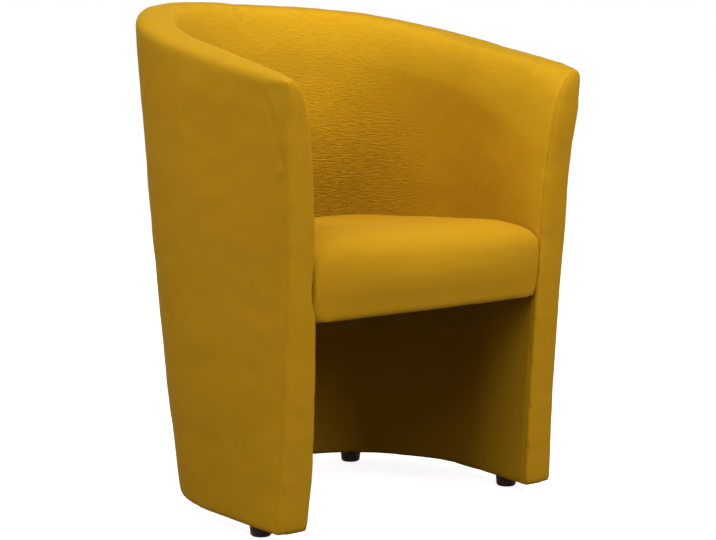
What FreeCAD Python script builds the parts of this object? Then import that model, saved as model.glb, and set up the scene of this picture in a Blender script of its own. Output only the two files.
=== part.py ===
import FreeCAD, Part
import math
import os

# Tub armchair: one curved padded wall makes the back and both arms, and a sprung seat sits between them.
# Millimetres, +Z up, the front of the chair faces -Y, origin on the floor under the middle of the chair.

# Overall sizes
HEIGHT = 770.0  # floor to the rim at the middle of the back
DEPTH = 573.0  # arm tips to the rim of the back
TOP_WIDTH = 610.0  # across the rim where the back begins
TIP_WIDTH = 564.0  # across the rim at the arm tips
BASE_WIDTH = 526.0  # across the foot of the wall
TIP_HEIGHT = 668.0  # floor to the rim at an arm's tip
FACING_RAKE = 43.0  # how far an arm's tip stands in front of its foot
BACK_RAKE = 93.0  # how far the rim of the back stands behind its foot
RIM_STRAIGHT = 257.0  # straight run of the rim, from an arm's tip to the round of the back
WAIST_DRAW = 12.0  # how far an arm's front edge is drawn in at half height
BACK_SWELL = 5.0  # how far the back swells out at half height

# Wall
WALL_FRONT = 49.0  # wall at the arm fronts
WALL_BACK = 37.0  # wall under the seat, round the back
UPPER_BACK = 72.0  # padded wall above the seat
SEAT_LINE_PAD = 8.0  # extra padding where the inside meets the seat
RIM_OUT_TIP = 9.0  # run of the rim's outer rounding at an arm's tip
RIM_OUT_BACK = 46.0  # the same along the arms and the back
RIM_OUT_DROP = 20.0  # height of the rim's outer rounding
RIM_IN_TIP = 165.0  # height of the rim's inner rounding at an arm's tip
RIM_IN_BACK = 80.0  # the same along the arms and the back
RIM_PAD = 26.0  # foam above the frame
FACING_THICK = 8.0  # padded panel on an arm's front
FACING_ROUND = 6.0  # rounding of that panel's edge

# Sheet materials and fits
FABRIC = 1.5
CLOTH = 1.0
WADDING = 4.2
BOARD = 3.0
PLYWOOD = 18.0
GAP = 0.3  # clearance between layers
SKIN = FABRIC + GAP

# Frame
SEAT_FORMER_Z = 330.0  # underside of the plywood former at seat height
UPPER_FRAME_IN = 30.0  # inner side of the frame above the seat, from the outside of the wall
POST_WIDTH = 44.0
POST_BACK_ANGLE = 26.0  # place of the back posts, from the middle of the back
LINING_TOP = 352.0  # top of the lining, hidden by the seat
JOIN_Z = 395.0  # lower edge of the inside cover, hidden by the seat

# Seat
SEAT_BOTTOM = 323.0
SEAT_HEIGHT = 438.0  # floor to the crown of the seat
SEAT_GAP = 0.6  # seat to wall
SEAT_CORNER = 16.0  # rounding of the front corners, seen from above
SEAT_CROWN = 9.0  # rise of the crown over the sides
SEAT_ROLL = 7.0  # further fall at the side edges
SEAT_BULGE = 9.0  # how far the front face swells out
SEAT_FRONT_ROLL = 46.0  # rounding of the front edge
SEAT_FRONT_DROP = 5.0  # crown above the front edge
SEAT_BACK_DROP = 18.0  # crown above the edge at the back
SEAT_SIDE_REACH = 1.12  # the crowned block is wider than the seat and is cut by its plan
SEAT_SLICES = 7
RAIL_FIT = 1.0  # rails to the cover
RAIL_THICK = 22.0
RAIL_HEIGHT = 48.0
WIRE = 3.6
SPRING_COUNT = 5
SPRING_PITCH = 66.0
SPRING_HALF_WIDTH = 23.0
SPRING_TURN = 11.0  # radius of a spring's turns
CLIP_LENGTH = 16.0
CLIP_WIDTH = 14.0
CLIP_HEIGHT = 6.4
CLIP_BASE = 0.8  # clip under the wire
FELT = 5.0
BLOCK_LEG = 42.0

# Feet and screws
FOOT_HEIGHT = 20.0
FOOT_TOP = 35.0
FOOT_BOTTOM = 31.0
FOOT_EDGE = 2.0
FOOT_RECESS = 6.0
FRONT_FOOT_BACK = 77.0  # front foot behind the foot of the facing
REAR_FOOT_ANGLE = 38.0  # rear foot from the middle of the back
SCREW_SHANK = 4.5
SCREW_HEAD = 9.0
SCREW_HEAD_HEIGHT = 3.0
SCREW_CLEARANCE = 0.3
SCREW_SINK = 1.0  # frame screw heads below the plywood's face
FRAME_SCREW = 48.0
FOOT_SCREW_GRIP = 15.0
SEAT_SCREW_GRIP = 14.0
SEAT_SCREW_END = 66.0  # seat screws from the ends of a side rail

# Worked out from the sizes above
FRONT_TOP_Y = -DEPTH / 2
FRONT_BASE_Y = FRONT_TOP_Y + FACING_RAKE
BASE_RADIUS = BASE_WIDTH / 2
BASE_CENTRE_Y = DEPTH / 2 - BACK_RAKE - BASE_RADIUS
BASE_STRAIGHT = BASE_CENTRE_Y - FRONT_BASE_Y
RIM_CENTRE_Y = FRONT_TOP_Y + RIM_STRAIGHT
RIM_RADIUS_Y = DEPTH / 2 - RIM_CENTRE_Y
BASE_Z = FOOT_HEIGHT
QUARTER = 90.0
STATION_ANGLE = 8.0  # between slices round the back
STATION_STEP = 24.0  # between slices along an arm
ARM_END = QUARTER + BASE_STRAIGHT
LAYER_END = ARM_END - FACING_THICK - GAP
WADDING_IN = SKIN + WADDING
BOARD_OUT = WADDING_IN + GAP
FRAME_OUT = BOARD_OUT + BOARD + GAP
BASE_FORMER_TOP = BASE_Z + CLOTH + PLYWOOD
SEAT_FORMER_TOP = SEAT_FORMER_Z + PLYWOOD
SEAT_HALF_WIDTH = BASE_RADIUS - WALL_BACK

os.makedirs("parts", exist_ok=True)
Vector = FreeCAD.Vector


def save(name, shape):
    shape.exportStep("parts/" + name + ".step")


def line(start, end):
    return Part.LineSegment(start, end).toShape()


def curve(*poles):
    bezier = Part.BezierCurve()
    bezier.setPoles(list(poles))
    return bezier.toShape()


def through(start, middle, end):
    """A parabola that passes through three points at even steps."""
    return curve(start, middle * 2 - (start + end) * 0.5, end)


class Station:
    """An upright slice of the wall. place is the angle from the middle of the back in degrees, and past a
    quarter turn it goes on along the arm in millimetres; it is positive on the +X side."""

    def __init__(self, place):
        side = math.copysign(1.0, place)
        along = BASE_STRAIGHT - max(abs(place) - QUARTER, 0.0)
        angle = math.radians(min(abs(place), QUARTER))
        behind = 1.0 - along / BASE_STRAIGHT
        self.front = behind ** 2 if abs(place) > QUARTER else 0.0
        self.inward = Vector(-side * math.sin(angle), -math.cos(angle), 0)
        if abs(place) > QUARTER:
            rim_lag = (RIM_STRAIGHT - BASE_STRAIGHT) * (along / BASE_STRAIGHT) ** 2
            rim_half = (TOP_WIDTH - (TOP_WIDTH - TIP_WIDTH) * self.front) / 2
            self.foot = Vector(side * BASE_RADIUS, FRONT_BASE_Y + along, BASE_Z)
            self.rim = Vector(side * rim_half, FRONT_TOP_Y + along + rim_lag, 0)
        else:
            self.foot = Vector(0, BASE_CENTRE_Y, BASE_Z) - self.inward * BASE_RADIUS
            rim_x = side * TOP_WIDTH / 2 * math.sin(angle)
            self.rim = Vector(rim_x, RIM_CENTRE_Y + RIM_RADIUS_Y * math.cos(angle), 0)
        self.rim.z = TIP_HEIGHT + (HEIGHT - TIP_HEIGHT) * (self.rim.y - FRONT_TOP_Y) / DEPTH
        self.wall = self.grade(WALL_FRONT, WALL_BACK)
        self.upper = self.grade(WALL_FRONT, UPPER_BACK)
        self.seat_line = self.wall + SEAT_LINE_PAD * (1.0 - self.front)
        self.lower_frame_in = self.wall - SKIN - BOARD - GAP
        self.rim_out = self.grade(RIM_OUT_TIP, RIM_OUT_BACK)
        self.rim_in = self.grade(RIM_IN_TIP, RIM_IN_BACK)
        self.frame_top = self.rim.z - RIM_PAD

    def grade(self, at_tip, at_back):
        return at_back + (at_tip - at_back) * self.front

    def point(self, depth, z):
        """The point at this depth in from the outside of the wall, at this height."""
        rise = (z - BASE_Z) / (self.rim.z - BASE_Z)
        draw = 4.0 * self.grade(WAIST_DRAW, -BACK_SWELL) * rise * (1.0 - rise)
        place = self.foot + (self.rim - self.foot) * rise + self.inward * (depth + draw)
        return Vector(place.x, place.y, z)

    def inside(self, z):
        """Depth of the wall's inside face at this height, beside the seat."""
        rise = max(z - JOIN_Z, 0.0) / (self.rim.z - self.rim_in - JOIN_Z)
        return self.seat_line + (self.upper - self.seat_line) * rise

    def upright(self, depth_0, z_0, depth_1, z_1):
        middle = self.point((depth_0 + depth_1) / 2, (z_0 + z_1) / 2)
        return through(self.point(depth_0, z_0), middle, self.point(depth_1, z_1))

    def slab(self, depth_0, depth_1, z_0, z_1):
        """A plain strip of the wall between two depths and two heights."""
        return Part.Wire([
            self.upright(depth_0, z_0, depth_0, z_1),
            line(self.point(depth_0, z_1), self.point(depth_1, z_1)),
            self.upright(depth_1, z_1, depth_1, z_0),
            line(self.point(depth_1, z_0), self.point(depth_0, z_0)),
        ])

    def over_rim(self, inset):
        """The rim and the inside face down to the seat, this far below the surface."""
        top = self.rim.z - inset
        side = self.upper - inset
        start = self.point(inset, self.rim.z - RIM_OUT_DROP)
        crest = self.point(self.rim_out, top)
        inside = self.point(side, self.rim.z - self.rim_in)
        return [
            curve(start, self.point(inset, top), crest),
            curve(crest, self.point(side, top), inside),
            self.upright(side, self.rim.z - self.rim_in, self.seat_line - inset, JOIN_Z),
        ]

    def cover(self):
        """Fabric over the rim and down the inside."""
        outside = self.over_rim(0.0)
        inside = self.over_rim(FABRIC)
        hem = line(self.point(self.seat_line, JOIN_Z), self.point(self.seat_line - FABRIC, JOIN_Z))
        seam_z = self.rim.z - RIM_OUT_DROP
        seam = line(self.point(FABRIC, seam_z), self.point(0.0, seam_z))
        return Part.Wire(Part.__sortEdges__(outside + [hem] + inside + [seam]))

    def padding(self):
        """Foam that hooks over the top of the frame and runs down the inside to the seat."""
        back = UPPER_FRAME_IN + GAP + BOARD + GAP
        shelf = self.frame_top + GAP
        return Part.Wire(Part.__sortEdges__(self.over_rim(SKIN) + [
            line(self.point(self.seat_line - SKIN, JOIN_Z), self.point(back, JOIN_Z)),
            self.upright(back, JOIN_Z, back, shelf),
            line(self.point(back, shelf), self.point(SKIN, shelf)),
            line(self.point(SKIN, shelf), self.point(SKIN, self.rim.z - RIM_OUT_DROP)),
        ]))

    def facing(self, inset):
        """Outline of an arm's front, this far in from its edge."""
        top = self.rim.z - inset
        side = self.wall - inset
        bottom = BASE_Z + inset
        crest = self.point(self.rim_out, top)
        shoulder = self.rim.z - RIM_OUT_DROP
        return Part.Wire([
            self.upright(inset, bottom, inset, shoulder),
            curve(self.point(inset, shoulder), self.point(inset, top), crest),
            curve(crest, self.point(side, top), self.point(side, self.rim.z - self.rim_in)),
            self.upright(side, self.rim.z - self.rim_in, side, bottom),
            line(self.point(side, bottom), self.point(inset, bottom)),
        ])


def stations(start, end):
    """Stations from one place to the other, with one at each end of the round back."""
    stops = [start] + [q for q in (-QUARTER, QUARTER) if start < q < end] + [end]
    places = [start]
    for low, high in zip(stops, stops[1:]):
        reach = STATION_ANGLE if abs(low + high) / 2 < QUARTER else STATION_STEP
        count = max(2, math.ceil((high - low) / reach))
        places += [low + (high - low) * k / count for k in range(1, count + 1)]
    return [Station(place) for place in places]


def wall_piece(start, end, section):
    """A piece of the wall: the same section carried round from one place to another."""
    return Part.makeLoft([section(station) for station in stations(start, end)], True, False)


def slab_piece(start, end, depth_0, depth_1, z_0, z_1):
    """A piece of the wall of plain section; sizes that change round the wall are given as functions."""
    def size(value, station):
        return value(station) if callable(value) else value

    def section(station):
        return station.slab(*[size(value, station) for value in (depth_0, depth_1, z_0, z_1)])

    return wall_piece(start, end, section)


def mirrored(shape):
    return shape.mirror(Vector(0, 0, 0), Vector(1, 0, 0))


def screw(start, direction, length, margin=0.0, open_end=0.0):
    """A screw from its head's outer face; a hole for it is wider by margin and runs out by open_end."""
    outer = start - Vector(direction).normalize() * open_end
    head = Part.makeCylinder(SCREW_HEAD / 2 + margin, SCREW_HEAD_HEIGHT + open_end, outer, direction)
    shank = Part.makeCylinder(SCREW_SHANK / 2 + margin, length, start, direction)
    return head.fuse(shank).removeSplitter()


# Screw places that the frame pieces need for their holes
POST_HALF_ANGLE = math.degrees(POST_WIDTH / 2 / BASE_RADIUS)
POST_PLACES = {
    "front": (LAYER_END - POST_WIDTH, LAYER_END),
    "side": (QUARTER - POST_HALF_ANGLE, QUARTER + POST_WIDTH / 2),
    "back": (POST_BACK_ANGLE - POST_HALF_ANGLE, POST_BACK_ANGLE + POST_HALF_ANGLE),
}
base_screws = []
top_screws = []
for start, end in POST_PLACES.values():
    for side in (1, -1):
        station = Station(side * (start + end) / 2)
        base_depth = (FRAME_OUT + station.lower_frame_in) / 2
        top_depth = (FRAME_OUT + UPPER_FRAME_IN) / 2
        low_z = BASE_Z + CLOTH + SCREW_SINK
        high_z = station.frame_top - SCREW_SINK
        low = station.point(base_depth, low_z)
        low_axis = station.point(base_depth, low_z + FRAME_SCREW) - low
        high = station.point(top_depth, high_z)
        high_axis = station.point(top_depth, high_z - FRAME_SCREW) - high
        base_screws.append((low, low_axis))
        top_screws.append((high, high_axis))

foot_spots = {}
front_foot = Station(ARM_END - FRONT_FOOT_BACK)
rear_foot = Station(REAR_FOOT_ANGLE)
for name, station in (("front", front_foot), ("rear", rear_foot)):
    spot = station.point(station.wall / 2, BASE_Z)
    foot_spots["foot_" + name + "_right"] = spot
    foot_spots["foot_" + name + "_left"] = Vector(-spot.x, spot.y, spot.z)
foot_screw_length = FOOT_HEIGHT - FOOT_RECESS + CLOTH + FOOT_SCREW_GRIP
foot_screws = []
for spot in foot_spots.values():
    foot_screws.append((Vector(spot.x, spot.y, FOOT_RECESS - SCREW_HEAD_HEIGHT), Vector(0, 0, 1)))


SEAT_FRONT_Y = Station(ARM_END).point(0.0, SEAT_BOTTOM).y  # the seat's front at its lower edge


def seat_outline(z, inset):
    """The seat's plan at one height: it follows the inside of the wall and runs on past the arm tips."""
    reach = ARM_END + SEAT_FRONT_ROLL
    edge = Part.BSplineCurve()
    edge.interpolate([s.point(s.inside(z) + SEAT_GAP + inset, z) for s in stations(-reach, reach)])
    return Part.Wire([edge.toShape(), line(edge.EndPoint, edge.StartPoint)])


def seat_profile(x, inset, bottom):
    """The seat cut from front to back: a full front, a rolled front edge and a crowned top."""
    share = abs(x) / SEAT_HALF_WIDTH
    top = SEAT_HEIGHT - inset - SEAT_CROWN * share ** 2 - SEAT_ROLL * share ** 8
    recess = inset + SEAT_CORNER * share ** 12
    front = SEAT_FRONT_Y + recess
    face = front - SEAT_BULGE
    shoulder = SEAT_HEIGHT - SEAT_FRONT_ROLL
    back = DEPTH / 2
    crest = Vector(x, face + SEAT_FRONT_ROLL, top - SEAT_FRONT_DROP)
    low = Vector(x, front, bottom)
    brow = Vector(x, face, shoulder)
    behind = Vector(x, back, top - SEAT_BACK_DROP)
    middle = Vector(x, (crest.y + back) / 2, top)
    return Part.Wire([
        curve(low, Vector(x, face, (bottom + shoulder) / 2), brow),
        curve(brow, Vector(x, face, crest.z), crest),
        through(crest, middle, behind),
        line(behind, Vector(x, back, bottom)),
        line(Vector(x, back, bottom), low),
    ])


def seat_body(inset, bottom):
    """The upholstered seat, or the space this far inside its surface."""
    reach = SEAT_HALF_WIDTH * SEAT_SIDE_REACH
    slices = [reach * k / SEAT_SLICES for k in range(-SEAT_SLICES, SEAT_SLICES + 1)]
    crowned = Part.makeLoft([seat_profile(x, inset, bottom) for x in slices], True, False)
    plan = Part.makeLoft([seat_outline(z, inset) for z in (bottom, JOIN_Z, SEAT_HEIGHT)], True, True)
    return plan.common(crowned)


def slice_y(shape, low, high):
    box = shape.BoundBox
    cutter = Part.makeBox(box.XLength, high - low, box.ZLength, Vector(box.XMin, low, box.ZMin))
    return shape.common(cutter)


def seat_plate(inset, z, thick):
    """A flat sheet of the seat's plan, this far inside its cover."""
    plate = Part.Face(seat_outline(SEAT_BOTTOM, inset)).extrude(Vector(0, 0, thick))
    plate.translate(Vector(0, 0, z - SEAT_BOTTOM))
    return slice_y(plate, SEAT_FRONT_Y + inset, plate.BoundBox.YMax)


# Seat frame: a front rail, two side rails and a bent rear rail
RAIL_INSET = SKIN + RAIL_FIT
RAIL_Z = SEAT_BOTTOM + CLOTH + GAP
RAIL_TOP = RAIL_Z + RAIL_HEIGHT
rail_ring = seat_plate(RAIL_INSET, RAIL_Z, RAIL_HEIGHT)
rail_ring = rail_ring.cut(seat_plate(RAIL_INSET + RAIL_THICK, RAIL_Z, RAIL_HEIGHT))
seat_room = seat_body(SKIN, SEAT_BOTTOM)
rail_ring = rail_ring.common(seat_room)
front_rail_end = SEAT_FRONT_Y + RAIL_INSET + RAIL_THICK
side_rail_end = Station(QUARTER).point(0.0, SEAT_BOTTOM).y
front_rail = slice_y(rail_ring, SEAT_FRONT_Y, front_rail_end)
side_rails = slice_y(rail_ring, front_rail_end, side_rail_end)
rear_rail = slice_y(rail_ring, side_rail_end, rail_ring.BoundBox.YMax)
right_rail = max(side_rails.Solids, key=lambda solid: solid.CenterOfMass.x)

# Seat screws pass through a side rail and the lining into the plywood former of the wall
seat_screw_z = SEAT_FORMER_Z + PLYWOOD / 2
seat_screws = []
for screw_y in (front_rail_end + SEAT_SCREW_END, side_rail_end - SEAT_SCREW_END):
    inner_x = slice_y(right_rail, screw_y - SCREW_HEAD / 2, screw_y + SCREW_HEAD / 2).BoundBox.XMin
    nearest = min(stations(QUARTER, LAYER_END), key=lambda s: abs(s.point(0, seat_screw_z).y - screw_y))
    former_x = nearest.point(nearest.lower_frame_in, seat_screw_z).x
    length = former_x - inner_x + SEAT_SCREW_GRIP
    for side in (1, -1):
        seat_screws.append((Vector(side * inner_x, screw_y, seat_screw_z), Vector(side, 0, 0), length))


def drill(shape, screws, length=None, margin=SCREW_CLEARANCE):
    """The piece with a hole for each screw that passes through it or bites into it."""
    for entry in screws:
        reach = length if length else entry[2]
        shape = shape.cut(screw(entry[0], entry[1], reach, margin, SCREW_HEAD_HEIGHT))
    return shape


# Plywood formers: the U-shaped boards that shape the wall at its foot, at seat height and at the rim
base_former = slab_piece(-LAYER_END, LAYER_END, FRAME_OUT, lambda s: s.lower_frame_in,
                         BASE_Z + CLOTH, BASE_FORMER_TOP)
base_former = drill(base_former, base_screws, FRAME_SCREW)
base_former = drill(base_former, foot_screws, foot_screw_length, 0.0)
save("base_former", base_former)
seat_former = slab_piece(-LAYER_END, LAYER_END, FRAME_OUT, lambda s: s.lower_frame_in,
                         SEAT_FORMER_Z, SEAT_FORMER_TOP)
save("seat_former", drill(seat_former, seat_screws, margin=0.0))
top_former = slab_piece(-LAYER_END, LAYER_END, FRAME_OUT, UPPER_FRAME_IN,
                        lambda s: s.frame_top - PLYWOOD, lambda s: s.frame_top)
save("top_former", drill(top_former, top_screws, FRAME_SCREW))

# Posts between the formers: fronts of the arms, where the arms meet the back, and behind
for name, (start, end) in POST_PLACES.items():
    lower = slab_piece(start, end, FRAME_OUT, lambda s: s.lower_frame_in, BASE_FORMER_TOP, SEAT_FORMER_Z)
    lower = drill(lower, base_screws[::2], FRAME_SCREW, 0.0)
    upper = slab_piece(start, end, FRAME_OUT, UPPER_FRAME_IN,
                       SEAT_FORMER_TOP, lambda s: s.frame_top - PLYWOOD)
    upper = drill(upper, top_screws[::2], FRAME_SCREW, 0.0)
    save("lower_post_" + name + "_right", lower)
    save("lower_post_" + name + "_left", mirrored(lower))
    save("upper_post_" + name + "_right", upper)
    save("upper_post_" + name + "_left", mirrored(upper))
frame_screws = [screw(start, axis, FRAME_SCREW) for start, axis in base_screws + top_screws]
save("frame_screws", Part.makeCompound(frame_screws))

# Bent hardboard on both sides of the frame
LAYER_Z = BASE_Z + CLOTH + GAP
outer_board = slab_piece(-LAYER_END, LAYER_END, BOARD_OUT, BOARD_OUT + BOARD, LAYER_Z, lambda s: s.frame_top)
save("outer_board", outer_board)
inner_board = slab_piece(-LAYER_END, LAYER_END, UPPER_FRAME_IN + GAP, UPPER_FRAME_IN + GAP + BOARD,
                         LINING_TOP + GAP, lambda s: s.frame_top)
save("inner_board", inner_board)

# Padding and boards that are cut in three where the arms meet the back
WALL_PARTS = {"left": (-LAYER_END, -QUARTER), "back": (-QUARTER, QUARTER), "right": (QUARTER, LAYER_END)}
for name, (start, end) in WALL_PARTS.items():
    lower_board = slab_piece(start, end, lambda s: s.wall - SKIN - BOARD, lambda s: s.wall - SKIN,
                             LAYER_Z, LINING_TOP)
    wadding = slab_piece(start, end, SKIN, WADDING_IN, LAYER_Z, lambda s: s.frame_top)
    foam = wall_piece(start, end, lambda s: s.padding())
    save("lower_board_" + name, drill(lower_board, seat_screws))
    save("outer_wadding_" + name, wadding)
    save("back_foam" if name == "back" else "arm_foam_" + name, foam)

# Fabric: the outside, the rim with the inside, the lining below the seat, and the cloth under the wall
outer_cover = slab_piece(-LAYER_END, LAYER_END, 0.0, FABRIC, BASE_Z, lambda s: s.rim.z - RIM_OUT_DROP - GAP)
save("outer_cover", outer_cover)
save("inner_cover", wall_piece(-LAYER_END, LAYER_END, lambda s: s.cover()))
lower_lining = slab_piece(-LAYER_END, LAYER_END, lambda s: s.wall - FABRIC, lambda s: s.wall,
                          BASE_Z, LINING_TOP)
save("lower_lining", drill(lower_lining, seat_screws))
base_cloth = slab_piece(-LAYER_END, LAYER_END, SKIN, lambda s: s.wall - SKIN, BASE_Z, BASE_Z + CLOTH)
save("base_cloth", drill(base_cloth, foot_screws, foot_screw_length))

# Padded panels on the arm fronts, with a rounded edge
facing_steps = [(0.0, FACING_ROUND), (FACING_ROUND / 3, FACING_ROUND / 3)]
facing_steps += [(FACING_ROUND, 0.0), (FACING_THICK, 0.0)]
facing_outlines = [Station(ARM_END - back).facing(inset) for back, inset in facing_steps]
facing = Part.makeLoft(facing_outlines, True, False)
save("arm_facing_right", facing)
save("arm_facing_left", mirrored(facing))

# Seat frame rails and the glued blocks in its front corners
save("seat_front_rail", front_rail)
save("seat_rear_rail", rear_rail)
right_rail = drill(right_rail, seat_screws)
save("seat_side_rail_right", right_rail)
save("seat_side_rail_left", mirrored(right_rail))
save("seat_screws", Part.makeCompound([screw(*entry) for entry in seat_screws]))
block_x = seat_plate(RAIL_INSET + RAIL_THICK, RAIL_Z, RAIL_HEIGHT).BoundBox.XMax
block_room = seat_plate(RAIL_INSET + RAIL_THICK + GAP, RAIL_Z, RAIL_HEIGHT)
block_corners = [
    Vector(block_x, front_rail_end, RAIL_Z),
    Vector(block_x - BLOCK_LEG - SEAT_CORNER, front_rail_end, RAIL_Z),
    Vector(block_x, front_rail_end + BLOCK_LEG + SEAT_CORNER, RAIL_Z),
]
block = Part.Face(Part.makePolygon(block_corners + block_corners[:1])).extrude(Vector(0, 0, RAIL_HEIGHT))
block = block.common(block_room)
save("seat_corner_blocks", Part.makeCompound([block, mirrored(block)]))


def spring_path(x, front_y, rear_y, z):
    """A zigzag spring: a straight end, legs that cross to and fro joined by half turns, a straight end."""
    turns = int((rear_y - front_y - 2 * CLIP_LENGTH - 2 * SPRING_TURN) / (2 * SPRING_TURN))
    spare = rear_y - front_y - 2 * SPRING_TURN * (turns + 1)
    radius = SPRING_TURN
    corner = radius * math.sqrt(0.5)
    y = front_y + spare / 2
    edges = [line(Vector(x, front_y, z), Vector(x, y, z))]
    start = Vector(x, y, z)
    end = Vector(x + radius, y + radius, z)
    edges.append(Part.Arc(start, Vector(x + radius - corner, y + corner, z), end).toShape())
    side = 1
    for _ in range(turns):
        edge_x = x + side * (SPRING_HALF_WIDTH - radius)
        turn_in = Vector(edge_x, end.y, z)
        turn_mid = Vector(edge_x + side * radius, end.y + radius, z)
        turn_out = Vector(edge_x, end.y + 2 * radius, z)
        edges.append(line(end, turn_in))
        edges.append(Part.Arc(turn_in, turn_mid, turn_out).toShape())
        end = turn_out
        side = -side
    approach = Vector(x - side * radius, end.y, z)
    edges.append(line(end, approach))
    last = Vector(x, end.y + radius, z)
    bend = Vector(x - side * (radius - corner), last.y - corner, z)
    edges.append(Part.Arc(approach, bend, last).toShape())
    edges.append(line(last, Vector(x, rear_y, z)))
    return Part.Wire(edges)


# Zigzag springs across the seat, held on the rails by clips
bore_radius = WIRE / 2 + GAP / 3
wire_z = RAIL_TOP + CLIP_BASE + bore_radius
springs = []
clips = []
for k in range(SPRING_COUNT):
    spring_x = (k - (SPRING_COUNT - 1) / 2) * SPRING_PITCH
    strip = Part.makeBox(WIRE, DEPTH, RAIL_HEIGHT, Vector(spring_x - WIRE / 2, -DEPTH / 2, RAIL_Z))
    rear_y = rear_rail.common(strip).BoundBox.Center.y + CLIP_LENGTH / 2
    front_y = front_rail.common(strip).BoundBox.Center.y - CLIP_LENGTH / 2
    path = spring_path(spring_x, front_y, rear_y, wire_z)
    ring = Part.Wire(Part.makeCircle(WIRE / 2, Vector(spring_x, front_y, wire_z), Vector(0, 1, 0)))
    springs.append(path.makePipeShell([ring], True, False))
    for end_y in (front_y, rear_y - CLIP_LENGTH):
        corner = Vector(spring_x - CLIP_WIDTH / 2, end_y, RAIL_TOP)
        clip = Part.makeBox(CLIP_WIDTH, CLIP_LENGTH, CLIP_HEIGHT, corner)
        bore_start = Vector(spring_x, end_y, wire_z)
        bore = Part.makeCylinder(bore_radius, CLIP_LENGTH, bore_start, Vector(0, 1, 0))
        clips.append(clip.cut(bore))
save("zigzag_springs", Part.makeCompound(springs))
save("spring_clips", Part.makeCompound(clips))

# Felt over the springs, foam, the fabric cover and the cloth that closes the seat's underside
felt_z = RAIL_TOP + CLIP_HEIGHT + GAP
save("spring_felt", seat_plate(RAIL_INSET + GAP, felt_z, FELT))
foam_z = felt_z + FELT + GAP
save("seat_foam", seat_body(SKIN, foam_z))
seat_cover = seat_body(0.0, SEAT_BOTTOM).cut(seat_body(FABRIC, SEAT_BOTTOM))
save("seat_cover", drill(seat_cover, seat_screws))
save("seat_bottom_cloth", seat_plate(SKIN, SEAT_BOTTOM, CLOTH).common(seat_room))

# Feet: short tapered plastic feet, each held by a screw up into the base
edge_low = FOOT_BOTTOM / 2 - FOOT_EDGE
foot_profile = Part.makePolygon([
    Vector(SCREW_SHANK / 2 + SCREW_CLEARANCE, 0, FOOT_RECESS),
    Vector(SCREW_HEAD / 2 + SCREW_CLEARANCE, 0, FOOT_RECESS),
    Vector(SCREW_HEAD / 2 + SCREW_CLEARANCE, 0, 0),
    Vector(edge_low, 0, 0),
    Vector(FOOT_BOTTOM / 2, 0, FOOT_EDGE),
    Vector(FOOT_TOP / 2, 0, FOOT_HEIGHT),
    Vector(SCREW_SHANK / 2 + SCREW_CLEARANCE, 0, FOOT_HEIGHT),
    Vector(SCREW_SHANK / 2 + SCREW_CLEARANCE, 0, FOOT_RECESS),
])
foot = Part.Face(foot_profile).revolve(Vector(0, 0, 0), Vector(0, 0, 1), 360)
for name, spot in foot_spots.items():
    placed = foot.copy()
    placed.translate(Vector(spot.x, spot.y, 0))
    save(name, placed)
foot_screw_solids = [screw(start, axis, foot_screw_length) for start, axis in foot_screws]
save("foot_screws", Part.makeCompound(foot_screw_solids))
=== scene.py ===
import math

import bmesh
import bpy
import numpy as np
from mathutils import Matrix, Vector, noise
from mathutils.bvhtree import BVHTree
from mathutils.kdtree import KDTree


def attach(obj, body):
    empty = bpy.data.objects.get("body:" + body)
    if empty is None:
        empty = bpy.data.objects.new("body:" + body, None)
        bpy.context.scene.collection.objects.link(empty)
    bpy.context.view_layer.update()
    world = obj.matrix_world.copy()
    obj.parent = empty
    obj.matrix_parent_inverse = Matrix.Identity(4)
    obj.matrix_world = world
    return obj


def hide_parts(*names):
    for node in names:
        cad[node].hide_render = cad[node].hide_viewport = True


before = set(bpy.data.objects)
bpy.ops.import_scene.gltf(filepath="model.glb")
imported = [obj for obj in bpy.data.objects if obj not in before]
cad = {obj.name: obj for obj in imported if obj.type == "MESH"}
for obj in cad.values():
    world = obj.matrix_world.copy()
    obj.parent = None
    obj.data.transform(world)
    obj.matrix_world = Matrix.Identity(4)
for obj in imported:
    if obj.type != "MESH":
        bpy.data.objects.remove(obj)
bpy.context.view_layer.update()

scene = bpy.context.scene


# Wooden frame: plywood boards cut to the curve of the wall, posts between them, and the seat's rails.
# Sawn pale wood, screwed and glued, all of it hidden under the upholstery.
def new_material(name, roughness):
    """A material with this roughness; gives the material, its node tree and its shader."""
    material = bpy.data.materials.new(name)
    material.use_nodes = True
    tree = material.node_tree
    shader = tree.nodes["Principled BSDF"]
    shader.inputs["Roughness"].default_value = roughness
    return material, tree, shader


def node(tree, kind, **settings):
    """A new node; a setting named like one of its inputs fills that input, any other sets a property."""
    made = tree.nodes.new(kind)
    for key, value in settings.items():
        if key in made.inputs:
            made.inputs[key].default_value = value
        else:
            setattr(made, key, value)
    return made


def ramp(tree, factor, low, high, start, end):
    """Goes from the low colour to the high one while the factor goes from start to end."""
    mixer = node(tree, "ShaderNodeValToRGB")
    mixer.color_ramp.elements[0].color = (*low, 1)
    mixer.color_ramp.elements[1].color = (*high, 1)
    mixer.color_ramp.elements[0].position = start
    mixer.color_ramp.elements[1].position = end
    tree.links.new(factor, mixer.inputs["Fac"])
    return mixer.outputs["Color"]


def raised(tree, shader, height, depth):
    """Lets a height stand out of the surface: a height of 1 stands out by the depth, in metres."""
    bump = node(tree, "ShaderNodeBump", Distance=depth, Strength=1.0)
    tree.links.new(height, bump.inputs["Height"])
    tree.links.new(bump.outputs["Normal"], shader.inputs["Normal"])


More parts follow.
